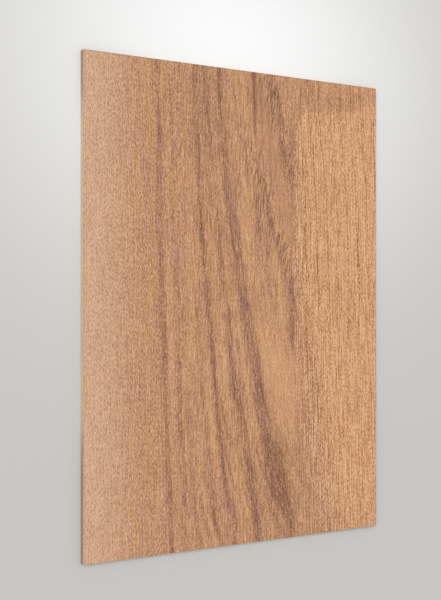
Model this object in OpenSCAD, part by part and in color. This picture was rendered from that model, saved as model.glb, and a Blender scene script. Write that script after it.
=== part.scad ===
// Decorative laminate sheet, cut to the A4 sample size.
// The sheet lies flat on its back, with its decor face up and its grain along Y.
// The origin is the middle of the back face.

/* [Sheet] */
// Width across the grain
sheet_w = 210; // [50:1:1300]
// Length along the grain
sheet_l = 297; // [50:1:3050]
// Thickness from the back face to the decor face
sheet_t = 4; // [1:0.1:13]

/* [Eased edges] */
// Width of the fine chamfer round the decor face
decor_arris = 0.3; // [0.05:0.05:0.4]
// Width of the fine chamfer round the back face
back_arris = 0.15; // [0.05:0.05:0.4]
// Width of the chamfer down each of the four upright corners
corner_arris = 0.3; // [0.05:0.05:2]

/* [Colours] */
// Colour of the pressed sheet, as its decor face shows it
sheet_colour = "#C39370"; // ["#C39370", "#A97D5C", "#D8B08C"]

/* [Hidden] */
// How far a cutting profile runs past the sheet at each end
overrun = 1;

// Section of the sheet over a given span: flat back at height 0, with both faces' edges eased
module pressed_section(span) {
    half = span / 2;
    polygon([
        [-half + back_arris, 0],
        [half - back_arris, 0],
        [half, back_arris],
        [half, sheet_t - decor_arris],
        [half - decor_arris, sheet_t],
        [-half + decor_arris, sheet_t],
        [-half, sheet_t - decor_arris],
        [-half, back_arris]
    ]);
}

// Outline of the sheet from above, with its four corners eased
module sheet_outline() {
    half_w = sheet_w / 2;
    half_l = sheet_l / 2;
    polygon([
        [-half_w + corner_arris, -half_l],
        [half_w - corner_arris, -half_l],
        [half_w, -half_l + corner_arris],
        [half_w, half_l - corner_arris],
        [half_w - corner_arris, half_l],
        [-half_w + corner_arris, half_l],
        [-half_w, half_l - corner_arris],
        [-half_w, -half_l + corner_arris]
    ]);
}

// The whole sheet: its outline at full thickness, eased by the section across and along the grain
module laminate_sheet() {
    color(sheet_colour)
    intersection() {
        linear_extrude(height = sheet_t)
            sheet_outline();
        rotate([90, 0, 0])
            linear_extrude(height = sheet_l + 2 * overrun, center = true)
                pressed_section(sheet_w);
        rotate([90, 0, 90])
            linear_extrude(height = sheet_w + 2 * overrun, center = true)
                pressed_section(sheet_l);
    }
}

laminate_sheet();
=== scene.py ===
"""Looks of one decorative laminate sheet with a brown wood decor, lying on a pale studio floor.

The sheet lies on its back with its decor face up and its grain along Y. The decor is laid out
with a maker's two rulers, both in millimetres: "across" runs from the sheet's left edge to the
right, and "down" runs from its top edge to the bottom.
"""

import logging
import math
from dataclasses import asdict, dataclass, field, fields
from enum import Enum
from typing import ClassVar, Union

import bpy
from mathutils import Color, Matrix, Vector


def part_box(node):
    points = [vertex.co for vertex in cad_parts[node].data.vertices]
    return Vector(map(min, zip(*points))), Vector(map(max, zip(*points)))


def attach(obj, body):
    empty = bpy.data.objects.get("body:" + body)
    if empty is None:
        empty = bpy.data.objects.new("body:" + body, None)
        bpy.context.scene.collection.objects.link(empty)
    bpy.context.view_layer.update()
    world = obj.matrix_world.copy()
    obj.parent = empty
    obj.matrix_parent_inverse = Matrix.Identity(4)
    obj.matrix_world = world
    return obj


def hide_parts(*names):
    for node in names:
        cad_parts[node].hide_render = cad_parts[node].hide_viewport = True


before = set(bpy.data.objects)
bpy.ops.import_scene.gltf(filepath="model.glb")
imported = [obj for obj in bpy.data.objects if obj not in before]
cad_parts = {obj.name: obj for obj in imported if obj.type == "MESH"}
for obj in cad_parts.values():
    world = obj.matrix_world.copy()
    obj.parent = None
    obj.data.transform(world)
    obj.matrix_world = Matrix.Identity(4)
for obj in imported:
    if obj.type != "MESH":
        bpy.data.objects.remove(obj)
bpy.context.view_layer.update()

MM = 0.001
HAIR = 0.01 * MM
MEAN_NOISE = 0.5
SHEET_NODE = "laminate_sheet"
UV_LAYOUT = "OFBake"

log = logging.getLogger("decor_sheet")


class Surface(Enum):
    """Which side of the sheet a face belongs to, as the number kept on the face."""

    BACK = 0.0
    EDGE = 0.5
    DECOR = 1.0


class SocketKind(Enum):
    """Kinds of socket that a node group can show."""

    VALUE = "NodeSocketFloat"
    SHAPE = "NodeSocketGeometry"


@dataclass(frozen=True)
class Tone:
    """A colour as a colour card gives it, in sRGB numbers from 0 to 255."""

    FULL: ClassVar[int] = 255
    red: int
    green: int
    blue: int

    def linear(self) -> tuple[float, float, float, float]:
        """Works out the colour as the shader wants it.

        Returns:
            Linear red, green and blue, and full alpha.
        """
        card = Color((self.red / self.FULL, self.green / self.FULL, self.blue / self.FULL))
        return (*card.from_srgb_to_scene_linear(), 1.0)


Tint = tuple[float, float, float, float]
Socket = bpy.types.NodeSocket
Feed = Union[float, tuple, Tone, Socket]


class Wiring:
    """Lays nodes in one node tree and joins them."""

    COLUMN = 180
    ROW = 160
    ROWS = 8
    TURN = 0.6
    SHIFT_ALONG = 0.7
    SHIFT_UP = 0.3
    COLOUR_INPUTS = (0, 6, 7)
    COLOUR_OUTPUT = 2
    VALUE_INPUTS = (0, 2, 3)

    def __init__(self, tree: bpy.types.NodeTree) -> None:
        """Starts on an existing tree."""
        self.tree = tree
        self.count = 0

    def add(self, kind: str, **settings: object) -> bpy.types.Node:
        """Adds one node and sets its plain settings.

        Args:
            kind: Blender's name for the node type.
            settings: attributes of the node and their values.

        Returns:
            The new node.
        """
        node = self.tree.nodes.new(kind)
        for name, value in settings.items():
            setattr(node, name, value)
        node.location = (self.COLUMN * (self.count // self.ROWS), -self.ROW * (self.count % self.ROWS))
        self.count += 1
        return node

    def feed(self, socket: Socket, value: Feed) -> None:
        """Joins a socket to another one, or sets its value.

        Args:
            socket: the input to feed.
            value: an output socket, or the value or colour to set.
        """
        if isinstance(value, bpy.types.NodeSocket):
            self.tree.links.new(value, socket)
        else:
            socket.default_value = value.linear() if isinstance(value, Tone) else value

    def math(self, operation: str, *values: Feed, clamp: bool = False) -> Socket:
        """Adds one sum and returns its result.

        Args:
            operation: Blender's name for the sum.
            values: its operands in order.
            clamp: whether the result is kept from 0 to 1.

        Returns:
            The result's socket.
        """
        node = self.add("ShaderNodeMath", operation=operation, use_clamp=clamp)
        for socket, value in zip(node.inputs, values):
            self.feed(socket, value)
        return node.outputs[0]

    def plus(self, *values: Feed) -> Socket:
        """Adds two or more values up.

        Args:
            values: the values.

        Returns:
            The sum's socket.
        """
        total = values[0]
        for value in values[1:]:
            total = self.math("ADD", total, value)
        return total

    def minus(self, value: Feed, less: Feed) -> Socket:
        """Takes one value from another."""
        return self.math("SUBTRACT", value, less)

    def times(self, *values: Feed, clamp: bool = False) -> Socket:
        """Multiplies two or more values.

        Args:
            values: the factors.
            clamp: whether the product is kept from 0 to 1.

        Returns:
            The product's socket.
        """
        total = values[0]
        for value in values[1:-1]:
            total = self.math("MULTIPLY", total, value)
        return self.math("MULTIPLY", total, values[-1], clamp=clamp)

    def line(self, value: Feed, slope: Feed, start: Feed) -> Socket:
        """Multiplies a value by a slope and adds a start."""
        return self.math("MULTIPLY_ADD", value, slope, start)

    def span(self, share: Feed, low: float, high: float) -> Socket:
        """Turns a share from 0 to 1 into a value from low to high."""
        return self.line(share, high - low, low)

    def rise(self, value: Feed, low: Feed, high: Feed) -> Socket:
        """Turns a value into a smooth step from 0 at low to 1 at high.

        Args:
            value: what is measured.
            low: where the step starts.
            high: where the step ends.

        Returns:
            The step's socket.
        """
        node = self.add("ShaderNodeMapRange", interpolation_type="SMOOTHSTEP")
        for name, feed in (("Value", value), ("From Min", low), ("From Max", high)):
            self.feed(node.inputs[name], feed)
        return node.outputs["Result"]

    def hill(self, distance: Feed, width: Feed) -> Socket:
        """Turns a distance into a bell that is 1 at no distance and has the given width.

        Args:
            distance: how far the point is from the middle.
            width: the distance at which the bell has fallen to 37%.

        Returns:
            The bell's socket.
        """
        share = self.math("DIVIDE", distance, width)
        return self.math("EXPONENT", self.times(self.times(share, share), -1.0))

    def point(self, **parts: Feed) -> Socket:
        """Joins single values into a position.

        Args:
            parts: the values by the names X, Y and Z. One that is left out is 0.

        Returns:
            The position's socket.
        """
        node = self.add("ShaderNodeCombineXYZ")
        for name, value in parts.items():
            self.feed(node.inputs[name], value)
        return node.outputs[0]

    def measure(self, position: Feed) -> tuple[Socket, bpy.types.Node]:
        """Turns a position in metres into millimetres.

        Args:
            position: the position in metres.

        Returns:
            The position in millimetres, and the node that gives its X, Y and Z.
        """
        scaled = self.add("ShaderNodeVectorMath", operation="SCALE")
        self.feed(scaled.inputs[0], position)
        scaled.inputs["Scale"].default_value = 1 / MM
        axes = self.add("ShaderNodeSeparateXYZ")
        self.feed(axes.inputs[0], scaled.outputs[0])
        return scaled.outputs[0], axes

    def stretch(self, vector: Feed, across: float, along: float, shift: float = 0.0) -> Socket:
        """Scales a position in millimetres so that one unit is one cell of a pattern.

        The scaled place is turned, so that fine cells don't line up with the sheet in rows.

        Args:
            vector: the position in millimetres.
            across: size of a cell across the grain.
            along: size of a cell along the grain.
            shift: how far the pattern is moved, in cells, so that two patterns differ.

        Returns:
            The scaled position's socket.
        """
        scale = (1 / across, 1 / along, 1.0)
        move = Vector((shift, shift * self.SHIFT_ALONG, shift * self.SHIFT_UP))
        if self.tree.type == "GEOMETRY":
            node = self.add("ShaderNodeVectorMath", operation="MULTIPLY_ADD")
            self.feed(node.inputs[0], vector)
            node.inputs[1].default_value = scale
            node.inputs[2].default_value = move
            turned = self.add("ShaderNodeVectorRotate", rotation_type="Z_AXIS")
            self.feed(turned.inputs["Vector"], node.outputs[0])
            turned.inputs["Angle"].default_value = self.TURN
            return turned.outputs[0]
        mapping = self.add("ShaderNodeMapping", vector_type="POINT")
        self.feed(mapping.inputs["Vector"], vector)
        mapping.inputs["Location"].default_value = Matrix.Rotation(self.TURN, 3, "Z") @ move
        mapping.inputs["Rotation"].default_value = (0.0, 0.0, self.TURN)
        mapping.inputs["Scale"].default_value = scale
        return mapping.outputs[0]

    def noise(self, vector: Feed, detail: float, roughness: float) -> Socket:
        """Adds cloud-like noise with cells of one unit.

        Args:
            vector: where to read the noise.
            detail: how many finer layers it has.
            roughness: how strong the finer layers are.

        Returns:
            The noise value's socket, about 0.5 on average.
        """
        node = self.add("ShaderNodeTexNoise", noise_dimensions="2D")
        self.feed(node.inputs["Vector"], vector)
        node.inputs["Scale"].default_value = 1.0
        node.inputs["Detail"].default_value = detail
        node.inputs["Roughness"].default_value = roughness
        return node.outputs[0]

    def blend(self, share: Feed, first: Feed, second: Feed, mode: str = "MIX") -> Socket:
        """Mixes two colours.

        Args:
            share: how much of the second colour is used. The node keeps it from 0 to 1.
            first: the colour below.
            second: the colour laid over it.
            mode: Blender's name for the way to mix.

        Returns:
            The mixed colour's socket.
        """
        node = self.add("ShaderNodeMix", data_type="RGBA", blend_type=mode)
        for number, value in zip(self.COLOUR_INPUTS, (share, first, second)):
            self.feed(node.inputs[number], value)
        return node.outputs[self.COLOUR_OUTPUT]

    def pick(self, share: Feed, first: Feed, second: Feed) -> Socket:
        """Mixes two values.

        Args:
            share: how much of the second value is used, from 0 to 1.
            first: the value at share 0.
            second: the value at share 1.

        Returns:
            The mixed value's socket.
        """
        node = self.add("ShaderNodeMix", data_type="FLOAT")
        for number, value in zip(self.VALUE_INPUTS, (share, first, second)):
            self.feed(node.inputs[number], value)
        return node.outputs[0]

    def place(self, group: bpy.types.NodeTree, **feeds: Feed) -> bpy.types.Node:
        """Places a shader node group and feeds its inputs.

        Args:
            group: the group's tree.
            feeds: input names and what feeds them.

        Returns:
            The group's node.
        """
        node = self.add("ShaderNodeGroup", node_tree=group)
        for name, value in feeds.items():
            self.feed(node.inputs[name], value)
        return node

    def cover(self, shader: bpy.types.Node) -> None:
        """Joins a shader to the material's surface."""
        out = self.add("ShaderNodeOutputMaterial")
        self.feed(out.inputs["Surface"], shader.outputs[0])


def blank_material(name: str) -> tuple[bpy.types.Material, Wiring]:
    """Makes a material with no nodes.

    Args:
        name: the material's name.

    Returns:
        The material and the wiring of its tree.
    """
    material = bpy.data.materials.new(name)
    material.use_nodes = True
    material.node_tree.nodes.clear()
    return material, Wiring(material.node_tree)


class GroupBench:
    """Starts a node group with named inputs and outputs."""

    def __init__(self, name: str, tree_kind: str = "ShaderNodeTree") -> None:
        """Makes the empty group.

        Args:
            name: the group's name.
            tree_kind: Blender's name for the kind of tree.
        """
        self.tree = bpy.data.node_groups.new(name, tree_kind)
        self.wiring = Wiring(self.tree)
        self.entry = self.tree.nodes.new("NodeGroupInput")
        self.exit = self.tree.nodes.new("NodeGroupOutput")

    def take(self, name: str, kind: SocketKind = SocketKind.VALUE) -> Socket:
        """Adds an input and returns the socket that brings it in."""
        self.tree.interface.new_socket(name=name, in_out="INPUT", socket_type=kind.value)
        return self.entry.outputs[name]

    def give(self, name: str, feed: Socket, kind: SocketKind = SocketKind.VALUE) -> None:
        """Adds an output and joins it to its source."""
        self.tree.interface.new_socket(name=name, in_out="OUTPUT", socket_type=kind.value)
        self.tree.links.new(feed, self.exit.inputs[name])


@dataclass(frozen=True)
class Cells:
    """One noise pattern: the size of its cells in millimetres, its shift and its finer layers."""

    across: float
    along: float
    shift: float
    detail: float = 2.0
    roughness: float = 0.5

    def draw(self, w: Wiring, place: Feed) -> Socket:
        """Draws the pattern at a position in millimetres, about 0.5 on average."""
        return w.noise(w.stretch(place, self.across, self.along, self.shift), self.detail, self.roughness)


@dataclass(frozen=True)
class Fade:
    """A soft step: nothing at its start and its full share at its end, which may lie below."""

    start: float
    end: float
    share: float = 1.0

    def mask(self, w: Wiring, value: Feed) -> Socket:
        """Turns a value into the step, from 0 to the share."""
        step = w.rise(value, self.start, self.end)
        return step if self.share == 1.0 else w.times(step, self.share)


@dataclass(frozen=True)
class Bell:
    """A soft bump: full at its middle, and 37% of that at its width from there."""

    middle: float
    width: float

    def mask(self, w: Wiring, value: Feed) -> Socket:
        """Turns a value into the bump, from 0 to 1."""
        return w.hill(w.minus(value, self.middle), self.width)


@dataclass(frozen=True)
class Path:
    """A line on the face. Its across is start + slant * down + curve * down squared."""

    start: float
    slant: float
    curve: float = 0.0

    def offset(self, w: Wiring, across: Feed, down: Feed) -> Socket:
        """Measures how far a point lies beyond the line.

        Args:
            w: the tree to draw in.
            across: the ruler across the grain, or along it for a line that runs across.
            down: the other ruler.

        Returns:
            The distance, which is above 0 beyond the line.
        """
        middle = w.line(down, self.slant, self.start)
        if self.curve:
            middle = w.line(w.times(down, down), self.curve, middle)
        return w.minus(across, middle)


@dataclass(frozen=True)
class Streak:
    """One dark streak of the figure, placed by the two rulers.

    Its middle line is start + slant * down + curve * down squared.
    """

    start: float
    slant: float
    curve: float
    left: float
    right: float
    depth: float
    begins: float = -60.0
    ends: float = 360.0
    fade: float = 14.0
    growth: float = 0.0
    broken: float = 0.8

    @classmethod
    def between(cls, top: tuple[float, float], bottom: tuple[float, float], bow: float = 0.0,
                **looks: float) -> "Streak":
        """Makes a streak that runs from one point to another.

        Args:
            top: across and down of its upper end.
            bottom: across and down of its lower end.
            bow: how far its middle lies to the left of the straight line.
            looks: the other fields of the streak.

        Returns:
            The streak, faded at both ends.
        """
        span = bottom[1] - top[1]
        curve = 4 * bow / span ** 2
        slant = (bottom[0] - top[0]) / span - curve * (top[1] + bottom[1])
        start = top[0] - slant * top[1] - curve * top[1] ** 2
        return cls(start, slant, curve, begins=top[1], ends=bottom[1], **looks)


class StreakGroup:
    """Shader node group that draws one streak of the figure. Its inputs are the streak's fields."""

    LEAST_SWELL = 0.2

    def __init__(self) -> None:
        """Builds the group once."""
        bench = GroupBench("grain_streak")
        w = bench.wiring
        across = bench.take("Across")
        down = bench.take("Down")
        flecks = bench.take("Flecks")
        size = {part.name: bench.take(part.name.capitalize()) for part in fields(Streak)}
        bend = w.line(size["curve"], down, size["slant"])
        offset = w.minus(across, w.line(bend, down, size["start"]))
        side = w.math("GREATER_THAN", offset, 0.0)
        plain_width = w.line(side, w.minus(size["right"], size["left"]), size["left"])
        swell = w.math("MAXIMUM", w.line(size["growth"], down, 1.0), self.LEAST_SWELL)
        body = w.hill(offset, w.times(plain_width, swell))
        upper = w.rise(down, size["begins"], w.plus(size["begins"], size["fade"]))
        lower = w.rise(down, size["ends"], w.minus(size["ends"], size["fade"]))
        kept = w.line(size["broken"], w.minus(MEAN_NOISE, flecks), 1.0)
        bench.give("Mask", w.times(body, w.times(upper, lower), w.times(kept, size["depth"])))
        self.tree = bench.tree

    def draw(self, w: Wiring, streak: Streak, across: Feed, down: Feed, flecks: Feed) -> Socket:
        """Places the group for one streak.

        Args:
            w: the tree to draw in.
            streak: the streak's path and looks.
            across: the ruler across the grain.
            down: the ruler along the grain.
            flecks: noise from 0 to 1 that breaks the streak up.

        Returns:
            The streak's mask.
        """
        sizes = {name.capitalize(): size for name, size in asdict(streak).items()}
        node = w.place(self.tree, Across=across, Down=down, Flecks=flecks, **sizes)
        return node.outputs["Mask"]


@dataclass(frozen=True)
class Relief:
    """The pressed wood pores, shared by the mesh and the material. Sizes in millimetres."""

    pore: Cells = Cells(0.85, 7.0, 11.0, detail=1.5, roughness=0.45)
    open_on: Fade = Fade(0.54, 0.74)
    depth: float = 0.05
    rim_across: float = 1.2
    rim_along: float = 2.0

    def pores(self, w: Wiring, place: Feed) -> Socket:
        """Draws the long open pores of the pressed surface.

        Args:
            w: the wiring of a shader or geometry tree.
            place: the position in millimetres.

        Returns:
            0 on the flat, 1 in the bottom of a pore.
        """
        return self.open_on.mask(w, self.pore.draw(w, place))


class Figure:
    """The figure of the left leaf, as dark streaks and pale bands placed one by one."""

    def __init__(self) -> None:
        """Lists the dark streaks, those of the wedge at the foot, and the pale bands."""
        run = Streak.between
        self.dark = [
            Streak(47.0, 0.0120, 0.000068, left=1.9, right=1.3, depth=0.54, broken=0.3),
            Streak(44.6, 0.0120, 0.000068, left=3.0, right=2.6, depth=0.12, broken=0.2),
            run((47.5, 120), (50, 200), left=2.5, right=1.5, depth=0.20, fade=24),
            run((54.6, 5), (57.8, 114), left=1.6, right=1.4, depth=0.24),
            run((58.7, 112), (66.5, 310), bow=0.6, left=1.8, right=1.6, depth=0.42),
            run((65.6, 202), (76, 312), left=1.7, right=1.5, depth=0.40),
            run((72.5, 140), (89, 305), bow=1.2, left=1.7, right=1.5, depth=0.40),
            Streak(71.2, 0.0315, 0.000200, left=2.5, right=2.0, depth=0.46, ends=308, fade=46, broken=0.5),
            Streak(71.6, 0.0315, 0.000200, left=1.8, right=1.3, depth=0.40, begins=78, ends=272, fade=22),
            run((75.5, -12), (80, 34), left=1.8, right=1.8, depth=0.46, fade=10),
            run((79, 8), (84, 108), left=5.0, right=4.0, depth=0.22, fade=20),
            run((88.3, 84), (91, 152), left=2.6, right=2.0, depth=0.44),
            Streak(88.4, 0.0543, 0.000440, left=3.3, right=3.2, depth=0.50, growth=0.0012, ends=252, fade=50),
            Streak(87.2, 0.0543, 0.000440, left=1.4, right=1.1, depth=0.44, begins=52, ends=182),
            Streak(91.4, 0.0543, 0.000440, left=1.3, right=1.1, depth=0.44, begins=84, ends=176),
            run((115, 160), (120, 212), left=2.2, right=2.0, depth=0.36),
            run((88.5, 190), (95.5, 264), left=1.5, right=3.6, depth=0.30, fade=16),
            run((119, 216), (129, 264), bow=1.0, left=2.0, right=3.2, depth=0.22, fade=14),
            run((94.3, 140), (98.5, 208), left=2.6, right=2.2, depth=0.62, fade=12),
            run((97.5, 186), (117.4, 312), bow=-2.0, left=3.0, right=3.6, depth=0.72),
            run((97.5, 250), (102.7, 314), left=1.8, right=1.6, depth=0.30),
            run((108.5, 230), (117.6, 312), bow=-0.4, left=2.2, right=2.4, depth=0.34, fade=16),
            run((80.5, 248), (87, 294), left=1.6, right=1.4, depth=0.36, fade=12),
            run((121, -40), (123, 36), left=8.0, right=7.0, depth=0.26, fade=14),
            run((72, -40), (76, 70), left=14.0, right=24.0, depth=0.17, fade=24, broken=0.2),
            run((111.9, -40), (114.4, 50), left=1.7, right=1.7, depth=1.10, broken=0.25, fade=24),
            run((106.8, 40), (109, 76), left=1.3, right=1.1, depth=0.38, fade=8),
            run((118, 40), (115.4, 84), left=1.8, right=1.5, depth=0.46, fade=8),
            run((115.4, 72), (117.5, 110), left=2.2, right=1.8, depth=0.74, fade=10),
            run((118.6, 56), (126, 104), left=1.8, right=1.6, depth=0.50, fade=10),
            run((124.4, 68), (126, 116), left=2.2, right=1.8, depth=0.50, fade=10),
            run((120, 100), (127, 140), left=1.6, right=1.4, depth=0.34, fade=12),
            run((126, 90), (140, 142), left=2.2, right=1.7, depth=0.44, fade=12),
            run((129.5, 128), (130.6, 160), left=1.2, right=1.0, depth=0.55, fade=8),
            run((126.8, -30), (126, 46), left=1.7, right=1.5, depth=0.46, fade=10),
            run((130.5, 4), (135.6, 66), left=2.8, right=2.2, depth=0.50, fade=12),
            run((133.5, 42), (143, 78), left=2.0, right=1.7, depth=0.40, fade=10),
            run((141.4, 24), (143.2, 96), left=2.6, right=1.4, depth=0.50, fade=12),
            run((142.0, 120), (143.6, 186), left=3.4, right=1.0, depth=0.92, fade=20),
        ]
        self.wedge = [
            run((114.5, 184), (133, 292), bow=2.8, left=5.0, right=9.0, depth=0.46, fade=30, broken=0.25),
            run((125, 218), (148, 314), bow=1.4, left=9.0, right=7.4, depth=0.60, fade=26, broken=0.25),
            run((129, 236), (146.5, 302), bow=0.4, left=4.0, right=2.4, depth=0.34, fade=16),
        ]
        self.pale = [
            run((103.5, 34), (112, 150), bow=1.5, left=4.0, right=4.4, depth=0.62, fade=40),
            run((103, -30), (106, 34), left=3.0, right=3.0, depth=0.30, fade=14),
            run((94.5, -30), (96, 28), left=1.8, right=1.8, depth=0.60),
            run((126, 108), (135, 156), left=2.0, right=2.0, depth=0.90, fade=12),
            run((53.5, 112), (57, 220), left=1.7, right=1.7, depth=0.60),
            run((66, 84), (71, 190), left=1.8, right=1.8, depth=0.50),
            run((78, 146), (83.5, 246), left=2.1, right=2.1, depth=0.65),
            run((88, 138), (94.5, 222), left=2.3, right=2.3, depth=0.65),
            run((101, 148), (114, 244), left=2.6, right=2.6, depth=0.60),
            run((118, 146), (135, 214), left=8.0, right=8.0, depth=0.72, fade=16),
            run((133, 140), (137, 176), left=3.0, right=4.5, depth=0.45, fade=12),
        ]


@dataclass(frozen=True)
class WoodCells:
    """The noise patterns of the printed wood."""

    wander: Cells = Cells(16.0, 45.0, 3.0)
    serration: Cells = Cells(0.9, 5.0, 5.0, detail=3.0, roughness=0.6)
    fibre_shift: Cells = Cells(0.9, 18.0, 9.0, detail=1.0)
    fleck: Cells = Cells(0.7, 5.0, 7.0, detail=3.0, roughness=0.6)
    feather: Cells = Cells(1.25, 9.0, 61.0, roughness=0.6)
    vein: Cells = Cells(1.7, 42.0, 27.0, detail=4.0, roughness=0.62)
    band: Cells = Cells(4.6, 60.0, 31.0, detail=3.0, roughness=0.6)
    mottle: Cells = Cells(4.2, 9.0, 33.0)
    line_wander: Cells = Cells(20.0, 60.0, 21.0)
    line_wobble: Cells = Cells(3.0, 6.0, 22.0)
    line_strength: Cells = Cells(7.0, 40.0, 23.0)
    line_dash: Cells = Cells(1.0, 9.0, 25.0)
    line_glint: Cells = Cells(0.9, 6.0, 26.0)
    speck: Cells = Cells(0.42, 1.9, 13.0, detail=3.0, roughness=0.65)
    fibre: Cells = Cells(0.6, 9.0, 17.0, detail=4.0, roughness=0.65)
    long_fibre: Cells = Cells(0.7, 34.0, 19.0, detail=3.0, roughness=0.6)
    blush: Cells = Cells(1.1, 3.4, 63.0, roughness=0.6)


@dataclass(frozen=True)
class DecorLayout:
    """Where the parts of the decor lie, in millimetres on the two rulers.

    A pair gives the values at share 0 and at share 1 of the mask or noise that it is used with.
    """

    # Joint between the two leaves, and the figured zone
    joint: float = 144.5
    joint_blur: float = 1.0
    figured: Bell = Bell(100.0, 48.0)
    # Growth rings, which fan out from a point above the sheet
    ring_above: float = 68.0
    ring_left: float = 36.0
    ring_fan: float = 0.0000043
    # Sway and ragged edges of the figure
    wander: tuple = (-1.7, 0.3)
    fringe_from: Fade = Fade(50.0, 75.0)
    fringe: tuple = (1.0, 2.4)
    fibre_shift: tuple = (-10.0, 10.0)
    # Herringbone strokes
    inner_feathers: Path = Path(89.3, 0.42)
    inner_from: Fade = Fade(26.0, 50.0)
    inner_to: Fade = Fade(150.0, 116.0)
    outer_feathers: Path = Path(122.1, 0.36)
    outer_to: Fade = Fade(80.0, 60.0)
    feather_reach: float = 6.5
    feather_slant: float = 0.20
    # Calm wood, and the plain band
    calm_edge: Path = Path(92.5, 0.0543, 0.000440)
    calm_right: Fade = Fade(0.0, 3.0)
    calm_from: Fade = Fade(160.0, 190.0)
    calm_heel: Path = Path(-110.7, 0.9)
    calm_to: Fade = Fade(222.0, 206.0)
    plain_band: Path = Path(113.5, 0.27)
    plain_reach: float = 5.0
    plain_to: Fade = Fade(120.0, 95.0)
    # Painted sheen on the left side, and gold right leaf
    left_sheen_sway: float = 12.0
    left_sheen: Fade = Fade(42.0, 0.0)
    gold_edge: Path = Path(-18.0, 0.15)
    gold: Fade = Fade(139.0, 166.0)
    # Darker cross band at the top of the right leaf
    cross_line: Path = Path(0.0, -0.12)
    cross_turn_from: float = 190.0
    cross_turn: float = 0.28
    cross_band: Fade = Fade(43.8, 38.6)
    cross_weak: Fade = Fade(10.0, 0.0)
    cross_strength: tuple = (0.82, 0.42)
    # Shaded and sunny patches
    heel: Bell = Bell(145.0, 12.0)
    heel_from: Fade = Fade(212.0, 242.0, share=1.2)
    foot: Fade = Fade(48.0, 66.0)
    foot_from: Fade = Fade(262.0, 300.0, share=0.42)
    smudge_line: Path = Path(55.5, -0.15)
    smudge_reach: float = 2.2
    smudge: Fade = Fade(166.0, 200.0, share=0.6)
    sunny_rows: Bell = Bell(74.0, 34.0)
    sunny: Fade = Fade(168.0, 194.0, share=0.6)
    patch: Bell = Bell(149.8, 2.8)
    patch_from: Fade = Fade(23.0, 28.0)
    patch_to: Fade = Fade(58.0, 42.0, share=0.75)
    # Growth lines of the right leaf
    first_line: float = 154.0
    line_pitch: float = 8.3
    line_lean: float = 7.5
    line_lean_reach: float = 65.0
    line_wander: tuple = (-1.5, 1.5)
    line_wobble: tuple = (-0.8, 0.8)
    line_core: float = 0.6
    line_glow: float = 1.9
    line_glow_share: float = 0.28
    line_gleam: Bell = Bell(-1.9, 0.9)
    lines_right: Fade = Fade(148.0, 152.0)
    lines_to: Fade = Fade(195.0, 140.0)
    lines_below: tuple = (0.40, 1.0)
    off_joint_reach: float = 18.0
    off_joint_above: Fade = Fade(195.0, 135.0)
    lines_by_joint: tuple = (0.4, 1.0)
    # Specks of the grain, and the rim
    bright_below: Fade = Fade(38.0, 46.0)
    bright_edge: Path = Path(70.0, 0.3)
    bright_right: Fade = Fade(0.0, 20.0)
    bright_by_joint: tuple = (0.2, 1.0)
    pale_specks: Fade = Fade(60.0, 0.0)
    rim: Fade = Fade(1.1, 0.3, share=0.4)


@dataclass(frozen=True)
class DecorFinish:
    """Colours of the printed wood decor, and the noise values and shares that lay them.

    A pair gives the values at share 0 and at share 1 of the mask or noise that it is used with.
    """

    heart: Tone = Tone(190, 136, 101)
    # Painted sheen: the paler colour of the left side, as from a soft reflection
    left_sheen: Tone = Tone(213, 172, 142)
    gold: Tone = Tone(219, 161, 111)
    calm: Tone = Tone(206, 152, 112)
    shade: Tone = Tone(180, 130, 96)
    ochre: Tone = Tone(191, 142, 96)
    rose: Tone = Tone(183, 131, 105)
    gleam: Tone = Tone(220, 170, 122)
    sunny: Tone = Tone(230, 175, 124)
    streak_tint: Tint = (0.50, 0.44, 0.54, 1.0)
    wedge_tint: Tint = (0.46, 0.40, 0.41, 1.0)
    rim_tint: Tint = (0.55, 0.58, 0.60, 1.0)
    blush_warm: Tint = (1.0, 0.93, 0.97, 1.0)
    blush_cool: Tint = (0.94, 1.0, 0.92, 1.0)
    speck_dark: Tint = (0.58, 0.475, 0.375, 1.0)
    # Light specks: partly pale grain, partly painted glints of the pressed surface
    speck_light: Tone = Tone(235, 188, 147)
    speck_pale: Tone = Tone(234, 191, 153)
    line_tint: Tint = (0.62, 0.475, 0.355, 1.0)
    # Figure and veins
    fleck_on: Fade = Fade(0.40, 0.60)
    feather_dark_on: Fade = Fade(0.53, 0.62)
    feather_pale_on: Fade = Fade(0.47, 0.38)
    feather_dark: float = 0.95
    vein_dark_on: Fade = Fade(0.52, 0.34)
    vein_light_on: Fade = Fade(0.50, 0.68)
    vein_dark: float = 0.28
    vein_light: float = 0.40
    vein_strength: tuple = (0.2, 1.0)
    streak_by_vein: tuple = (0.90, 1.25)
    # Ground
    hue_mottle: float = 0.30
    ochre_on: Fade = Fade(0.48, 0.66)
    rose_on: Fade = Fade(0.50, 0.34)
    calm_share: float = 0.85
    gold_dull_on: Fade = Fade(0.52, 0.34)
    gold_dull: tuple = (1.0, 0.65)
    pale_share: float = 0.6
    plain_weight: float = 2.5
    quiet: tuple = (1.0, 0.8)
    # Growth lines
    strength_on: Fade = Fade(0.20, 0.50)
    dash_on: Fade = Fade(0.30, 0.54)
    glint_on: Fade = Fade(0.46, 0.66)
    line_dark: float = 0.92
    line_light: float = 0.85
    # Blush, fibres and specks
    blush_warm_on: Fade = Fade(0.50, 0.66)
    blush_cool_on: Fade = Fade(0.50, 0.34)
    blush_strength: tuple = (0.2, 0.7)
    fibre_share: float = 0.26
    fibre_share_right: float = 0.08
    fibre_share_figured: float = 0.22
    long_share: tuple = (0.16, 0.26)
    speck_dark_on: Fade = Fade(0.53, 0.37)
    speck_light_on: Fade = Fade(0.47, 0.63)
    speck_strength: tuple = (1.06, 0.98)
    speck_bright: float = 1.02
    speck_in_shade: tuple = (1.0, 0.55)
    dark_share: float = 0.90
    light_share: float = 0.82
    roughness: tuple = (0.50, 0.62)


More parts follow.
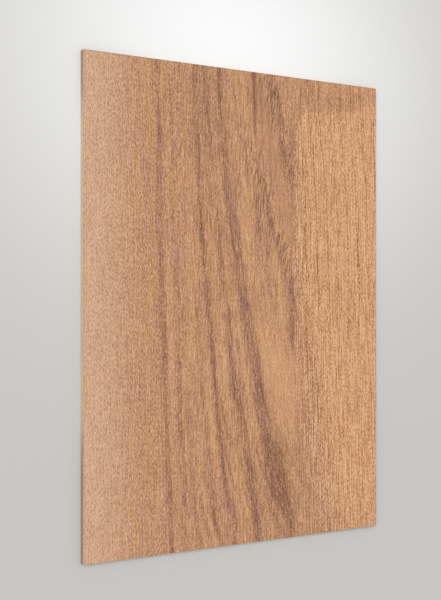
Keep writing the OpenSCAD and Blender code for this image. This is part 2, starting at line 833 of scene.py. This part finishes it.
@dataclass
class DecorPrint:
    """The printed wood of the decor face, drawn feature by feature in a material."""

    w: Wiring
    place: Feed
    across: Feed
    down: Feed
    relief: Relief
    layout: DecorLayout = DecorLayout()
    finish: DecorFinish = DecorFinish()
    cells: WoodCells = WoodCells()
    figure: Figure = field(default_factory=Figure)

    def __post_init__(self) -> None:
        """Draws the masks that several features share."""
        at = self.layout
        self.right_leaf = self.w.rise(self.across, at.joint - at.joint_blur, at.joint + at.joint_blur)
        self.left_leaf = self.w.minus(1.0, self.right_leaf)
        self.figured = at.figured.mask(self.w, self.across)
        self.rings = self._ring_place()

    def noise(self, cells: Cells) -> Socket:
        """Draws one noise pattern at the point's own place."""
        return cells.draw(self.w, self.place)

    def draw(self) -> tuple[Feed, Feed, Feed]:
        """Draws the whole decor, from its ground to its rim.

        Returns:
            Colour, roughness and height of the decor face.
        """
        w = self.w
        finish = self.finish
        vein = self.cells.vein.draw(w, self.rings)
        vein_dark = finish.vein_dark_on.mask(w, vein)
        vein_light = finish.vein_light_on.mask(w, vein)
        streaky = w.span(vein_dark, *finish.streak_by_vein)
        streaks, pale_bands, wedge = self._figure_masks()
        pigment = w.times(streaks, streaky, self.left_leaf, clamp=True)
        pale = w.times(pale_bands, self.left_leaf, clamp=True)
        wedge = w.times(wedge, streaky, self.left_leaf, clamp=True)
        calm = self._calm_zone()
        quiet = w.span(w.line(self._plain_band(), finish.plain_weight, calm), *finish.quiet)
        tone = self._ground(calm)
        tone = w.blend(w.times(pale, finish.pale_share), tone, finish.gleam)
        strength = w.times(w.span(self.figured, *finish.vein_strength), quiet)
        tone = w.blend(w.times(vein_dark, finish.vein_dark, strength), tone, finish.streak_tint, "MULTIPLY")
        tone = w.blend(w.times(vein_light, finish.vein_light, strength), tone, finish.gleam)
        tone = w.blend(pigment, tone, finish.streak_tint, "MULTIPLY")
        tone = w.blend(wedge, tone, finish.wedge_tint, "MULTIPLY")
        off_joint = self._off_joint()
        tone = self._lay_lines(tone, off_joint)
        grain = self._grain()
        tone = self._lay_blush(tone)
        loud = w.times(quiet, self._loudness(off_joint))
        tone = self._lay_specks(tone, grain, loud, w.math("MAXIMUM", pigment, wedge))
        rim = self.layout.rim.mask(w, w.math("MINIMUM", self.across, self.down))
        tone = w.blend(rim, tone, finish.rim_tint, "MULTIPLY")
        return tone, w.span(self.relief.pores(w, self.place), *finish.roughness), grain

    def _ring_place(self) -> Feed:
        """Works out where the growth ring through a point meets the sheet's top edge.

        Returns:
            A position whose X is that place on the ruler across, which fans out towards the bottom.
        """
        w = self.w
        at = self.layout
        reach = w.plus(self.down, at.ring_above)
        drop = w.minus(w.times(reach, reach), at.ring_above ** 2)
        fan = w.times(w.math("MAXIMUM", w.minus(self.across, at.ring_left), 0.0), at.ring_fan)
        return w.point(X=w.minus(self.across, w.times(fan, drop)), Y=self.down)

    def _figure_masks(self) -> list[Feed]:
        """Draws the figure of the left leaf.

        Returns:
            How dark and how pale the figure is, and how dark its wedge is, each 0 where it is plain.
        """
        w = self.w
        at = self.layout
        cells = self.cells
        wander = w.span(self.noise(cells.wander), *at.wander)
        fringe = w.span(at.fringe_from.mask(w, self.across), *at.fringe)
        ragged = w.times(w.minus(self.noise(cells.serration), MEAN_NOISE), fringe)
        course = w.plus(self.across, w.plus(wander, ragged))
        fibre_down = w.plus(self.down, w.span(self.noise(cells.fibre_shift), *at.fibre_shift))
        flecks = self.finish.fleck_on.mask(w, self.noise(cells.fleck))
        group = StreakGroup()
        masks = []
        for streaks in (self.figure.dark, self.figure.pale, self.figure.wedge):
            total: Feed = 0.0
            for streak in streaks:
                total = w.plus(total, group.draw(w, streak, course, fibre_down, flecks))
            masks.append(total)
        feather_dark, feather_pale = self._feathers()
        masks[0] = w.line(feather_dark, self.finish.feather_dark, masks[0])
        masks[1] = w.plus(feather_pale, masks[1])
        return masks

    def _feathers(self) -> tuple[Feed, Feed]:
        """Draws the herringbone strokes on both sides of the figure.

        Returns:
            How dark and how pale the strokes are, each from 0 to 1.
        """
        w = self.w
        at = self.layout
        inner = w.hill(at.inner_feathers.offset(w, self.across, self.down), at.feather_reach)
        inner = w.times(inner, at.inner_from.mask(w, self.down), at.inner_to.mask(w, self.down))
        outer = w.hill(at.outer_feathers.offset(w, self.across, self.down), at.feather_reach)
        outer = w.times(outer, at.outer_to.mask(w, self.down))
        reach = w.math("ADD", inner, outer, clamp=True)
        slanted = w.point(X=w.line(self.down, at.feather_slant, self.across), Y=self.down)
        feather = self.cells.feather.draw(w, slanted)
        dark = w.times(self.finish.feather_dark_on.mask(w, feather), reach)
        return dark, w.times(self.finish.feather_pale_on.mask(w, feather), reach)

    def _calm_zone(self) -> Feed:
        """Marks the calm wood below the figure's arch.

        Returns:
            The mask, from 0 to 1.
        """
        w = self.w
        at = self.layout
        right = at.calm_right.mask(w, at.calm_edge.offset(w, self.across, self.down))
        heel = at.calm_to.mask(w, at.calm_heel.offset(w, self.down, self.across))
        return w.times(right, at.calm_from.mask(w, self.down), heel, self.left_leaf)

    def _plain_band(self) -> Feed:
        """Marks the slanted band between the feathers, which has little grain.

        Returns:
            The mask, from 0 to 1.
        """
        w = self.w
        at = self.layout
        band = w.hill(at.plain_band.offset(w, self.across, self.down), at.plain_reach)
        return w.times(band, at.plain_to.mask(w, self.down), self.left_leaf)

    def _ground(self, calm: Feed) -> Feed:
        """Colours the plain wood below its figure.

        Args:
            calm: the mask of the calm wood.

        Returns:
            The colour of the ground.
        """
        w = self.w
        at = self.layout
        finish = self.finish
        band = self.cells.band.draw(w, self.rings)
        mottle = self.noise(self.cells.mottle)
        hue = w.pick(finish.hue_mottle, band, mottle)
        tone = w.blend(finish.ochre_on.mask(w, hue), finish.heart, finish.ochre)
        tone = w.blend(finish.rose_on.mask(w, hue), tone, finish.rose)
        # Painted sheen: paler towards the left edge, as under a soft reflection
        left_sheen = w.line(w.minus(mottle, MEAN_NOISE), at.left_sheen_sway, self.across)
        tone = w.blend(at.left_sheen.mask(w, left_sheen), tone, finish.left_sheen)
        tone = w.blend(w.times(calm, finish.calm_share), tone, finish.calm)
        gold_from = w.math("MAXIMUM", w.line(self.down, at.gold_edge.slant, at.gold_edge.start), 0.0)
        gold = at.gold.mask(w, w.minus(self.across, gold_from))
        dull = w.span(finish.gold_dull_on.mask(w, hue), *finish.gold_dull)
        tone = w.blend(w.times(gold, dull), tone, finish.gold)
        for share, colour in self._patches():
            tone = w.blend(share, tone, colour)
        return tone

    def _patches(self) -> list[tuple[Feed, Tone]]:
        """Marks the shaded and sunny patches of the ground.

        Returns:
            The share and the colour of each patch, in the order in which they are laid.
        """
        w = self.w
        at = self.layout
        finish = self.finish
        turn_up = w.times(w.math("MAXIMUM", w.minus(self.across, at.cross_turn_from), 0.0), at.cross_turn)
        cross = at.cross_band.mask(w, w.plus(at.cross_line.offset(w, self.down, self.across), turn_up))
        cross_strength = w.span(at.cross_weak.mask(w, self.down), *at.cross_strength)
        heel = w.times(at.heel.mask(w, self.across), at.heel_from.mask(w, self.down))
        foot = w.times(at.foot_from.mask(w, self.down), at.foot.mask(w, self.across))
        smudge = w.hill(at.smudge_line.offset(w, self.down, self.across), at.smudge_reach)
        sunny = w.times(at.sunny_rows.mask(w, self.down), at.sunny.mask(w, self.across))
        patch = w.times(at.patch_from.mask(w, self.down), at.patch_to.mask(w, self.down))
        return [
            (w.times(cross, self.right_leaf, cross_strength), finish.shade),
            (w.times(heel, self.right_leaf), finish.shade),
            (foot, finish.shade),
            (w.times(smudge, at.smudge.mask(w, self.across)), finish.shade),
            (sunny, finish.sunny),
            (w.times(patch, at.patch.mask(w, self.across), self.right_leaf), finish.sunny),
        ]

    def _growth_lines(self) -> tuple[Feed, Feed]:
        """Draws the straight growth lines of the right leaf.

        Returns:
            How dark and how bright the lines are, each from 0 to 1.
        """
        w = self.w
        at = self.layout
        cells = self.cells
        finish = self.finish
        lean = w.times(w.hill(self.down, at.line_lean_reach), at.line_lean)
        wander = w.span(self.noise(cells.line_wander), *at.line_wander)
        wobble = w.span(self.noise(cells.line_wobble), *at.line_wobble)
        course = w.plus(self.across, wobble, w.plus(lean, wander))
        from_line = w.minus(course, at.first_line - at.line_pitch / 2)
        wrapped = w.minus(w.math("WRAP", from_line, at.line_pitch, 0.0), at.line_pitch / 2)
        body = w.line(w.hill(wrapped, at.line_glow), at.line_glow_share, w.hill(wrapped, at.line_core))
        gleam = at.line_gleam.mask(w, wrapped)
        strength = finish.strength_on.mask(w, self.noise(cells.line_strength))
        dashes = finish.dash_on.mask(w, self.noise(cells.line_dash))
        glints = finish.glint_on.mask(w, self.noise(cells.line_glint))
        return w.times(body, strength, dashes), w.times(gleam, glints)

    def _off_joint(self) -> Feed:
        """Marks all but the strip right of the joint in the sheet's lower part.

        Returns:
            The mask, from 0 to 1.
        """
        at = self.layout
        beside = self.w.rise(self.across, at.joint, at.joint + at.off_joint_reach)
        return self.w.math("MAXIMUM", beside, at.off_joint_above.mask(self.w, self.down))

    def _lay_lines(self, tone: Feed, off_joint: Feed) -> Feed:
        """Lays the growth lines over the decor.

        Args:
            tone: the colour below.
            off_joint: the mask of all but the strip beside the joint.

        Returns:
            The colour with the lines.
        """
        w = self.w
        at = self.layout
        finish = self.finish
        dark, light = self._growth_lines()
        by_joint = w.span(off_joint, *at.lines_by_joint)
        below = w.span(at.lines_to.mask(w, self.down), *at.lines_below)
        lined = w.times(by_joint, at.lines_right.mask(w, self.across), below)
        tone = w.blend(w.times(dark, lined, finish.line_dark), tone, finish.line_tint, "MULTIPLY")
        return w.blend(w.times(light, lined, finish.line_light), tone, finish.gleam)

    def _grain(self) -> Feed:
        """Mixes the fine noise of the wood's fibres.

        Returns:
            The noise, about 0.5 on average, with longer fibres where the wood is figured.
        """
        w = self.w
        finish = self.finish
        speck = self.noise(self.cells.speck)
        fibre = self.noise(self.cells.fibre)
        long_fibre = self.noise(self.cells.long_fibre)
        share = w.line(self.right_leaf, finish.fibre_share_right, finish.fibre_share)
        share = w.line(self.figured, finish.fibre_share_figured, share)
        short = w.pick(share, speck, fibre)
        return w.pick(w.span(self.right_leaf, *finish.long_share), short, long_fibre)

    def _lay_blush(self, tone: Feed) -> Feed:
        """Tints the decor in small warm and cool patches.

        Args:
            tone: the colour below.

        Returns:
            The tinted colour.
        """
        w = self.w
        finish = self.finish
        blush = self.noise(self.cells.blush)
        strength = w.span(self.figured, *finish.blush_strength)
        warm = w.times(finish.blush_warm_on.mask(w, blush), strength)
        cool = w.times(finish.blush_cool_on.mask(w, blush), strength)
        tone = w.blend(warm, tone, finish.blush_warm, "MULTIPLY")
        return w.blend(cool, tone, finish.blush_cool, "MULTIPLY")

    def _loudness(self, off_joint: Feed) -> Feed:
        """Works out how strong the fine specks are, before the quiet zones weaken them.

        Args:
            off_joint: the mask of all but the strip beside the joint.

        Returns:
            The strength, about 1 in the left leaf and 2 in the bright part of the right one.
        """
        w = self.w
        at = self.layout
        below_band = at.bright_below.mask(w, at.cross_line.offset(w, self.down, self.across))
        right_of_edge = at.bright_right.mask(w, at.bright_edge.offset(w, self.across, self.down))
        by_joint = w.span(off_joint, *at.bright_by_joint)
        bright_leaf = w.times(self.right_leaf, below_band, right_of_edge, by_joint)
        plain = w.span(self.figured, *self.finish.speck_strength)
        return w.line(bright_leaf, self.finish.speck_bright, plain)

    def _lay_specks(self, tone: Feed, grain: Feed, loud: Feed, shaded: Feed) -> Feed:
        """Lays the dark and light specks of the grain over the decor; the light specks are partly pale grain
        and partly painted glints.

        Args:
            tone: the colour below.
            grain: the fine noise of the fibres.
            loud: how strong the specks are.
            shaded: how dark the figure is, where the light specks are weaker.

        Returns:
            The colour with the specks.
        """
        w = self.w
        finish = self.finish
        dark = w.times(finish.speck_dark_on.mask(w, grain), loud, finish.dark_share)
        light = w.times(finish.speck_light_on.mask(w, grain), loud, w.span(shaded, *finish.speck_in_shade))
        tone = w.blend(dark, tone, finish.speck_dark, "MULTIPLY")
        pale = self.layout.pale_specks.mask(w, self.across)
        # Light specks: partly pale grain, partly painted glints
        light_tone = w.blend(pale, finish.speck_light, finish.speck_pale)
        return w.blend(w.times(light, finish.light_share), tone, light_tone)


@dataclass(frozen=True)
class SawnEdgeFinish:
    """The sawn edge, which shows the pressed layers. Sizes in millimetres."""

    core: Tone = Tone(208, 191, 165)
    layer: Tone = Tone(180, 161, 136)
    decor_layer: Tone = Tone(196, 168, 142)
    # Painted shade: the tint that darkens the edge towards its ends
    end_shade_tint: Tint = (0.52, 0.49, 0.46, 1.0)
    layer_pitch: float = 0.42
    layer_waver: tuple = (-0.15, 0.15)
    layer_share: float = 0.28
    decor_depth: float = 0.34
    decor_blur: float = 0.05
    waver: Cells = Cells(9.0, 2.0, 41.0)
    saw: Cells = Cells(0.35, 5.0, 43.0, detail=3.0, roughness=0.6)
    cloud: Cells = Cells(14.0, 6.0, 45.0)
    saw_on: Fade = Fade(0.62, 0.34)
    saw_share: float = 0.35
    cloud_on: Fade = Fade(0.42, 0.62, share=0.25)
    # Painted shade: where the edge is lightest, and how it darkens towards its ends
    lit_middle: float = 127.0
    end_shade_long: Fade = Fade(77.0, 120.0)
    end_shade_short: Fade = Fade(50.0, 95.0)
    end_shade_by_cloud: tuple = (1.15, 0.75)
    height_of_saw: float = 0.7
    height_of_layers: float = 0.3
    roughness: float = 0.6

    def draw(self, w: Wiring, axes: bpy.types.Node, down: Feed, thickness: float) -> tuple[Feed, Feed]:
        """Draws the edge with its pressed layers and a painted shade that darkens its ends.

        Args:
            w: the material's wiring.
            axes: the node that gives the position's X, Y and Z in millimetres.
            down: the ruler along the grain.
            thickness: the sheet's thickness in millimetres.

        Returns:
            Colour and height of the edge.
        """
        level = axes.outputs["Z"]
        spot = w.point(X=w.plus(axes.outputs["X"], axes.outputs["Y"]), Y=level)
        waver = w.span(self.waver.draw(w, spot), *self.layer_waver)
        turn = w.times(w.plus(level, waver), 2 * math.pi / self.layer_pitch)
        layers = w.line(w.math("SINE", turn), 0.5, 0.5)
        saw = self.saw.draw(w, spot)
        cloud = self.cloud.draw(w, spot)
        share = w.line(self.saw_on.mask(w, saw), self.saw_share, w.times(layers, self.layer_share))
        tone = w.blend(share, self.core, self.layer)
        tone = w.blend(self.cloud_on.mask(w, cloud), tone, self.layer)
        skin = thickness - self.decor_depth
        in_skin = w.rise(level, skin - self.decor_blur, skin + self.decor_blur)
        tone = w.blend(in_skin, tone, self.decor_layer)
        # Painted shade: each edge darkens away from its lit middle, towards its ends
        from_middle = w.math("ABSOLUTE", w.minus(down, self.lit_middle))
        long_ends = self.end_shade_long.mask(w, from_middle)
        short_ends = self.end_shade_short.mask(w, w.math("ABSOLUTE", axes.outputs["X"]))
        ends = w.math("MINIMUM", long_ends, short_ends)
        end_shade = w.times(ends, w.span(cloud, *self.end_shade_by_cloud), clamp=True)
        tone = w.blend(end_shade, tone, self.end_shade_tint, "MULTIPLY")
        return tone, w.line(saw, self.height_of_saw, w.times(layers, self.height_of_layers))


@dataclass(frozen=True)
class SandedBackFinish:
    """The sanded backing paper."""

    paper: Tone = Tone(160, 128, 98)
    scratch: Tone = Tone(186, 156, 126)
    worn: Tone = Tone(138, 108, 82)
    fine: Cells = Cells(0.45, 42.0, 51.0, detail=4.0, roughness=0.65)
    coarse: Cells = Cells(2.6, 90.0, 53.0)
    cloud: Cells = Cells(34.0, 60.0, 55.0, detail=3.0)
    fleck: Cells = Cells(0.7, 0.9, 57.0, roughness=0.6)
    cloud_on: Fade = Fade(0.40, 0.62, share=0.55)
    coarse_on: Fade = Fade(0.50, 0.66, share=0.30)
    scratch_on: Fade = Fade(0.50, 0.66, share=0.55)
    groove_on: Fade = Fade(0.46, 0.32, share=0.45)
    fleck_on: Fade = Fade(0.60, 0.72, share=0.35)
    roughness: float = 0.72

    def draw(self, w: Wiring, place: Feed) -> tuple[Feed, Feed]:
        """Draws the paper with its sanding scratches.

        Args:
            w: the material's wiring.
            place: the position in millimetres.

        Returns:
            Colour and height of the back.
        """
        fine = self.fine.draw(w, place)
        coats = (
            (self.cloud_on, self.cloud.draw(w, place), self.worn),
            (self.coarse_on, self.coarse.draw(w, place), self.scratch),
            (self.scratch_on, fine, self.scratch),
            (self.groove_on, fine, self.worn),
            (self.fleck_on, self.fleck.draw(w, place), self.worn),
        )
        tone: Feed = self.paper
        for fade, noise, colour in coats:
            tone = w.blend(fade.mask(w, noise), tone, colour)
        return tone, fine


@dataclass
class SheetMaterial:
    """The finish of the whole sheet: printed decor, sawn edge and sanded back."""

    width: float
    length: float
    thickness: float
    relief: Relief
    sawn: SawnEdgeFinish = SawnEdgeFinish()
    sanded: SandedBackFinish = SandedBackFinish()
    specular: float = 0.3
    bump_strength: float = 0.6
    bump_depth: float = 0.05 * MM

    def build(self) -> bpy.types.Material:
        """Wires the material.

        Returns:
            The material, read by Object coordinates and by the face's side number.
        """
        material, w = blank_material("pressed_laminate")
        place, axes = w.measure(w.add("ShaderNodeTexCoord").outputs["Object"])
        across = w.plus(axes.outputs["X"], self.width / MM / 2)
        down = w.minus(self.length / MM / 2, axes.outputs["Y"])
        decor, decor_rough, decor_height = DecorPrint(w, place, across, down, self.relief).draw()
        edge, edge_height = self.sawn.draw(w, axes, down, self.thickness / MM)
        back, back_height = self.sanded.draw(w, place)
        side = w.add("ShaderNodeAttribute", attribute_name="side").outputs["Fac"]
        on_decor = w.math("GREATER_THAN", side, (Surface.EDGE.value + Surface.DECOR.value) / 2)
        on_back = w.math("LESS_THAN", side, (Surface.EDGE.value + Surface.BACK.value) / 2)
        rough = w.pick(on_decor, self.sawn.roughness, decor_rough)
        height = w.pick(on_decor, edge_height, decor_height)
        bump = w.add("ShaderNodeBump")
        bump.inputs["Strength"].default_value = self.bump_strength
        bump.inputs["Distance"].default_value = self.bump_depth
        w.feed(bump.inputs["Height"], w.pick(on_back, height, back_height))
        shader = w.add("ShaderNodeBsdfPrincipled")
        shader.inputs["Specular IOR Level"].default_value = self.specular
        w.feed(shader.inputs["Base Color"], w.blend(on_back, w.blend(on_decor, edge, decor), back))
        w.feed(shader.inputs["Roughness"], w.pick(on_back, rough, self.sanded.roughness))
        w.feed(shader.inputs["Normal"], bump.outputs[0])
        w.cover(shader)
        return material


@dataclass(frozen=True)
class BakeSheet:
    """How the picture over the UV map is shared out, as shares of its width."""

    decor_end: float = 0.80
    back_end: float = 0.94
    gap: float = 0.01
    edges: int = 4

    @property
    def strip(self) -> float:
        """Width of the strip that one edge gets."""
        return (1 - self.back_end - self.gap) / self.edges

    def along(self, share: float) -> float:
        """Turns a share of the sheet's length into a place up the picture."""
        return self.gap + share * (1 - 2 * self.gap)


@dataclass
class LaminateSheet:
    """The pressed sheet as one closed piece, with its pores pressed into the decor face."""

    low: Vector
    high: Vector
    decor_arris: float = 0.3 * MM
    back_arris: float = 0.15 * MM
    corner_arris: float = 0.3 * MM
    corner_segments: int = 2
    cell_across: float = 0.6 * MM
    cell_along: float = 1.7 * MM
    edge_rows: int = 3
    smooth_angle: float = 30.0
    flat_from: float = 0.9
    steep_from: float = 0.5
    relief: Relief = Relief()
    picture: BakeSheet = BakeSheet()

    def __post_init__(self) -> None:
        """Works out the sheet's size from its box."""
        self.width, self.length, self.thickness = self.high - self.low
        self.sheet: bpy.types.Object | None = None

    def build(self) -> bpy.types.Object:
        """Models the sheet.

        Returns:
            The finished piece, at the origin, unturned and unscaled.
        """
        self._press_decor_face()
        self._fold_down_edges()
        self._ease_corners()
        self._emboss_pores()
        self._mark_sides()
        self._lay_out_uv()
        return self.sheet

    def _press_decor_face(self) -> None:
        """Starts with the flat decor face as a fine grid at its height."""
        flat_w = self.width - 2 * self.decor_arris
        flat_l = self.length - 2 * self.decor_arris
        bpy.ops.object.select_all(action="DESELECT")
        bpy.ops.mesh.primitive_grid_add(
            x_subdivisions=round(flat_w / self.cell_across), y_subdivisions=round(flat_l / self.cell_along),
            size=1, location=(0, 0, self.thickness))
        self.sheet = bpy.context.object
        self.sheet.name = "decor_sheet"
        self.sheet.scale = (flat_w, flat_l, 1)
        bpy.ops.object.transform_apply(location=True, rotation=False, scale=True)

    def _edge_rings(self) -> list[tuple[float, float]]:
        """Lists the rings of the edge, from the middle of the decor face's round to the back.

        Returns:
            How far in from the sheet's outline each ring lies, and its height.
        """
        ease = self.decor_arris * (1 - math.sin(math.pi / 4))
        top = self.thickness - self.decor_arris
        side = top - self.back_arris
        rings = [(ease, self.thickness - ease)]
        for row in range(self.edge_rows + 1):
            rings.append((0.0, top - side * row / self.edge_rows))
        rings.append((self.back_arris, 0.0))
        return rings

    def _fold_down_edges(self) -> None:
        """Extrudes the face's rim down the edges to the back, and closes the back."""
        bpy.ops.object.mode_set(mode="EDIT")
        bpy.ops.mesh.select_all(action="SELECT")
        bpy.ops.mesh.region_to_loop()
        inset_now = self.decor_arris
        height_now = self.thickness
        for inset, height in self._edge_rings():
            drop = (0, 0, height - height_now)
            bpy.ops.mesh.extrude_edges_move(TRANSFORM_OT_translate={"value": drop})
            wider = (self.width - 2 * inset) / (self.width - 2 * inset_now)
            longer = (self.length - 2 * inset) / (self.length - 2 * inset_now)
            bpy.ops.transform.resize(value=(wider, longer, 1), center_override=(0, 0, height))
            inset_now = inset
            height_now = height
        bpy.ops.mesh.edge_face_add()
        bpy.ops.mesh.select_all(action="SELECT")
        bpy.ops.mesh.normals_make_consistent(inside=False)
        bpy.ops.mesh.select_all(action="DESELECT")
        bpy.ops.object.mode_set(mode="OBJECT")

    def _ease_corners(self) -> None:
        """Eases the four upright corners."""
        mesh = self.sheet.data
        reach_x = self.width / 2 - self.decor_arris - HAIR
        reach_y = self.length / 2 - self.decor_arris - HAIR
        corner = [abs(v.co.x) > reach_x and abs(v.co.y) > reach_y for v in mesh.vertices]
        for edge in mesh.edges:
            first, second = edge.vertices
            upright = abs(mesh.vertices[first].co.z - mesh.vertices[second].co.z) > HAIR
            edge.select = corner[first] and corner[second] and upright
        bpy.ops.object.mode_set(mode="EDIT")
        bpy.ops.mesh.select_mode(type="EDGE")
        bpy.ops.mesh.bevel(offset=self.corner_arris, segments=self.corner_segments, affect="EDGES")
        bpy.ops.mesh.select_all(action="DESELECT")
        bpy.ops.object.mode_set(mode="OBJECT")

    def _emboss_pores(self) -> None:
        """Presses the pores into the decor face with a Geometry Nodes modifier, and applies it."""
        relief = self.relief
        bench = GroupBench("press_pores", "GeometryNodeTree")
        w = bench.wiring
        shape = bench.take("Geometry", SocketKind.SHAPE)
        place, axes = w.measure(w.add("GeometryNodeInputPosition").outputs[0])
        rim_x = (self.width / 2 - self.decor_arris) / MM
        rim_y = (self.length / 2 - self.decor_arris) / MM
        inside_x = w.rise(w.math("ABSOLUTE", axes.outputs["X"]), rim_x, rim_x - relief.rim_across)
        inside_y = w.rise(w.math("ABSOLUTE", axes.outputs["Y"]), rim_y, rim_y - relief.rim_along)
        on_top = w.math("GREATER_THAN", axes.outputs["Z"], (self.thickness - HAIR) / MM)
        depth = w.times(relief.pores(w, place), w.times(inside_x, inside_y, on_top))
        press = w.add("GeometryNodeSetPosition")
        w.feed(press.inputs["Geometry"], shape)
        w.feed(press.inputs["Offset"], w.point(Z=w.times(depth, -relief.depth * MM)))
        bench.give("Geometry", press.outputs["Geometry"], SocketKind.SHAPE)
        modifier = self.sheet.modifiers.new("press_pores", "NODES")
        modifier.node_group = bench.tree
        bpy.ops.object.modifier_apply(modifier=modifier.name)
        bpy.ops.object.shade_smooth_by_angle(angle=math.radians(self.smooth_angle))

    def _mark_sides(self) -> None:
        """Writes on each face which side of the sheet it belongs to."""
        mesh = self.sheet.data
        marks = mesh.attributes.new("side", "FLOAT", "FACE")
        for face in mesh.polygons:
            surface = Surface.EDGE
            if face.normal.z > self.flat_from:
                surface = Surface.DECOR
            elif face.normal.z < -self.flat_from:
                surface = Surface.BACK
            marks.data[face.index].value = surface.value

    def _lay_out_uv(self) -> None:
        """Lays out the UV map so that the decor face gets most of its picture."""
        mesh = self.sheet.data
        layer = mesh.uv_layers.new(name=UV_LAYOUT)
        for face in mesh.polygons:
            for loop in face.loop_indices:
                spot = mesh.vertices[mesh.loops[loop].vertex_index].co
                layer.data[loop].uv = self._picture_place(face.normal, spot)

    def _picture_place(self, normal: Vector, spot: Vector) -> tuple[float, float]:
        """Finds the place of a face's corner in the picture.

        Args:
            normal: the face's normal.
            spot: the corner's place on the sheet.

        Returns:
            The place across and up the picture, each from 0 to 1.
        """
        picture = self.picture
        share_x = spot.x / self.width + 0.5
        share_y = spot.y / self.length + 0.5
        if normal.z > self.steep_from:
            across = picture.gap + share_x * (picture.decor_end - 2 * picture.gap)
            return across, picture.along(share_y)
        if normal.z < -self.steep_from:
            across = picture.decor_end + share_x * (picture.back_end - picture.gap - picture.decor_end)
            return across, picture.along(share_y)
        on_long_side = abs(normal.x) > abs(normal.y)
        number = int(normal.x >= 0) if on_long_side else 2 + int(normal.y >= 0)
        start = picture.back_end + number * picture.strip
        across = start + spot.z / self.thickness * (picture.strip - picture.gap / 2)
        return across, picture.along(share_y if on_long_side else share_x)


@dataclass
class Studio:
    """Pale floor, soft light and the camera.

    Places are in metres, angles in degrees, and the lens and its sensor in millimetres.
    """

    floor_size: float = 8.0
    floor_drop: float = 0.05 * MM
    floor_tone: Tone = Tone(201, 199, 195)
    # Painted pool of light: the floor is whiter in a soft patch
    light_pool_tone: Tone = Tone(252, 252, 252)
    light_pool_x: Bell = Bell(-0.008, 0.153)
    light_pool_y: Bell = Bell(0.161, 0.133)
    sky: Tone = Tone(255, 255, 255)
    sky_strength: float = 0.6
    key_turn: tuple[float, float, float] = (-18.0, -38.0, 0.0)
    key_spread: float = 25.0
    key_energy: float = 1.65
    lens: float = 57.2
    sensor: float = 36.0
    eye: tuple[float, float, float] = (-0.2961, 0.0, 0.5236)
    tilt: float = 28.4
    shift_y: float = 0.0118

    def build(self) -> None:
        """Sets up the floor, the lights and the camera."""
        self._floor()
        self._lights()
        self._camera()

    def _floor(self) -> None:
        """Lays a wide pale floor with a painted pool of light, a soft patch of white."""
        bpy.ops.object.select_all(action="DESELECT")
        bpy.ops.mesh.primitive_plane_add(size=self.floor_size, location=(0, 0, -self.floor_drop))
        floor = bpy.context.object
        floor.name = "studio_floor"
        material, w = blank_material("studio_paper")
        axes = w.add("ShaderNodeSeparateXYZ")
        w.feed(axes.inputs[0], w.add("ShaderNodeTexCoord").outputs["Object"])
        # Painted light: the floor colour turns white in a soft pool, as under a lamp
        light_pool = w.times(self.light_pool_x.mask(w, axes.outputs["X"]), self.light_pool_y.mask(w, axes.outputs["Y"]))
        shader = w.add("ShaderNodeBsdfDiffuse")
        w.feed(shader.inputs["Color"], w.blend(light_pool, self.floor_tone, self.light_pool_tone))
        w.cover(shader)
        floor.data.materials.append(material)
        log.info("%s: %.1f m wide", floor.name, self.floor_size)

    def _lights(self) -> None:
        """Lights the sheet from all round, with a soft key from the upper left."""
        world = bpy.data.worlds.new("studio")
        world.use_nodes = True
        sky = world.node_tree.nodes["Background"]
        sky.inputs["Color"].default_value = self.sky.linear()
        sky.inputs["Strength"].default_value = self.sky_strength
        bpy.context.scene.world = world
        bpy.ops.object.light_add(type="SUN", rotation=[math.radians(turn) for turn in self.key_turn])
        key = bpy.context.object
        key.name = "soft_key"
        key.data.angle = math.radians(self.key_spread)
        key.data.energy = self.key_energy
        log.info("%s: %.2f beside a sky of %.1f", key.name, self.key_energy, self.sky_strength)

    def _camera(self) -> None:
        """Places the camera at the photograph's viewing angle."""
        turn = Matrix.Rotation(math.radians(-self.tilt), 4, "Y")
        bpy.ops.object.camera_add()
        camera = bpy.context.object
        camera.matrix_world = Matrix.Translation(self.eye) @ turn
        camera.data.lens = self.lens
        camera.data.sensor_width = self.sensor
        camera.data.shift_y = self.shift_y
        bpy.context.scene.camera = camera
        log.info("%s: lens of %.1f mm, %.1f degrees from straight above", camera.name, self.lens, self.tilt)


def main() -> None:
    """Builds the sheet and the studio, and says what was made."""
    logging.basicConfig(level=logging.INFO)
    low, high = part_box(SHEET_NODE)
    sheet = LaminateSheet(low, high)
    piece = sheet.build()
    material = SheetMaterial(sheet.width, sheet.length, sheet.thickness, sheet.relief).build()
    piece.data.materials.append(material)
    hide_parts(SHEET_NODE)
    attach(piece, "root")
    log.info("%s: %d faces", piece.name, len(piece.data.polygons))
    Studio().build()
    bpy.context.scene.view_settings.view_transform = "Standard"


if __name__ == "__main__":
    main()
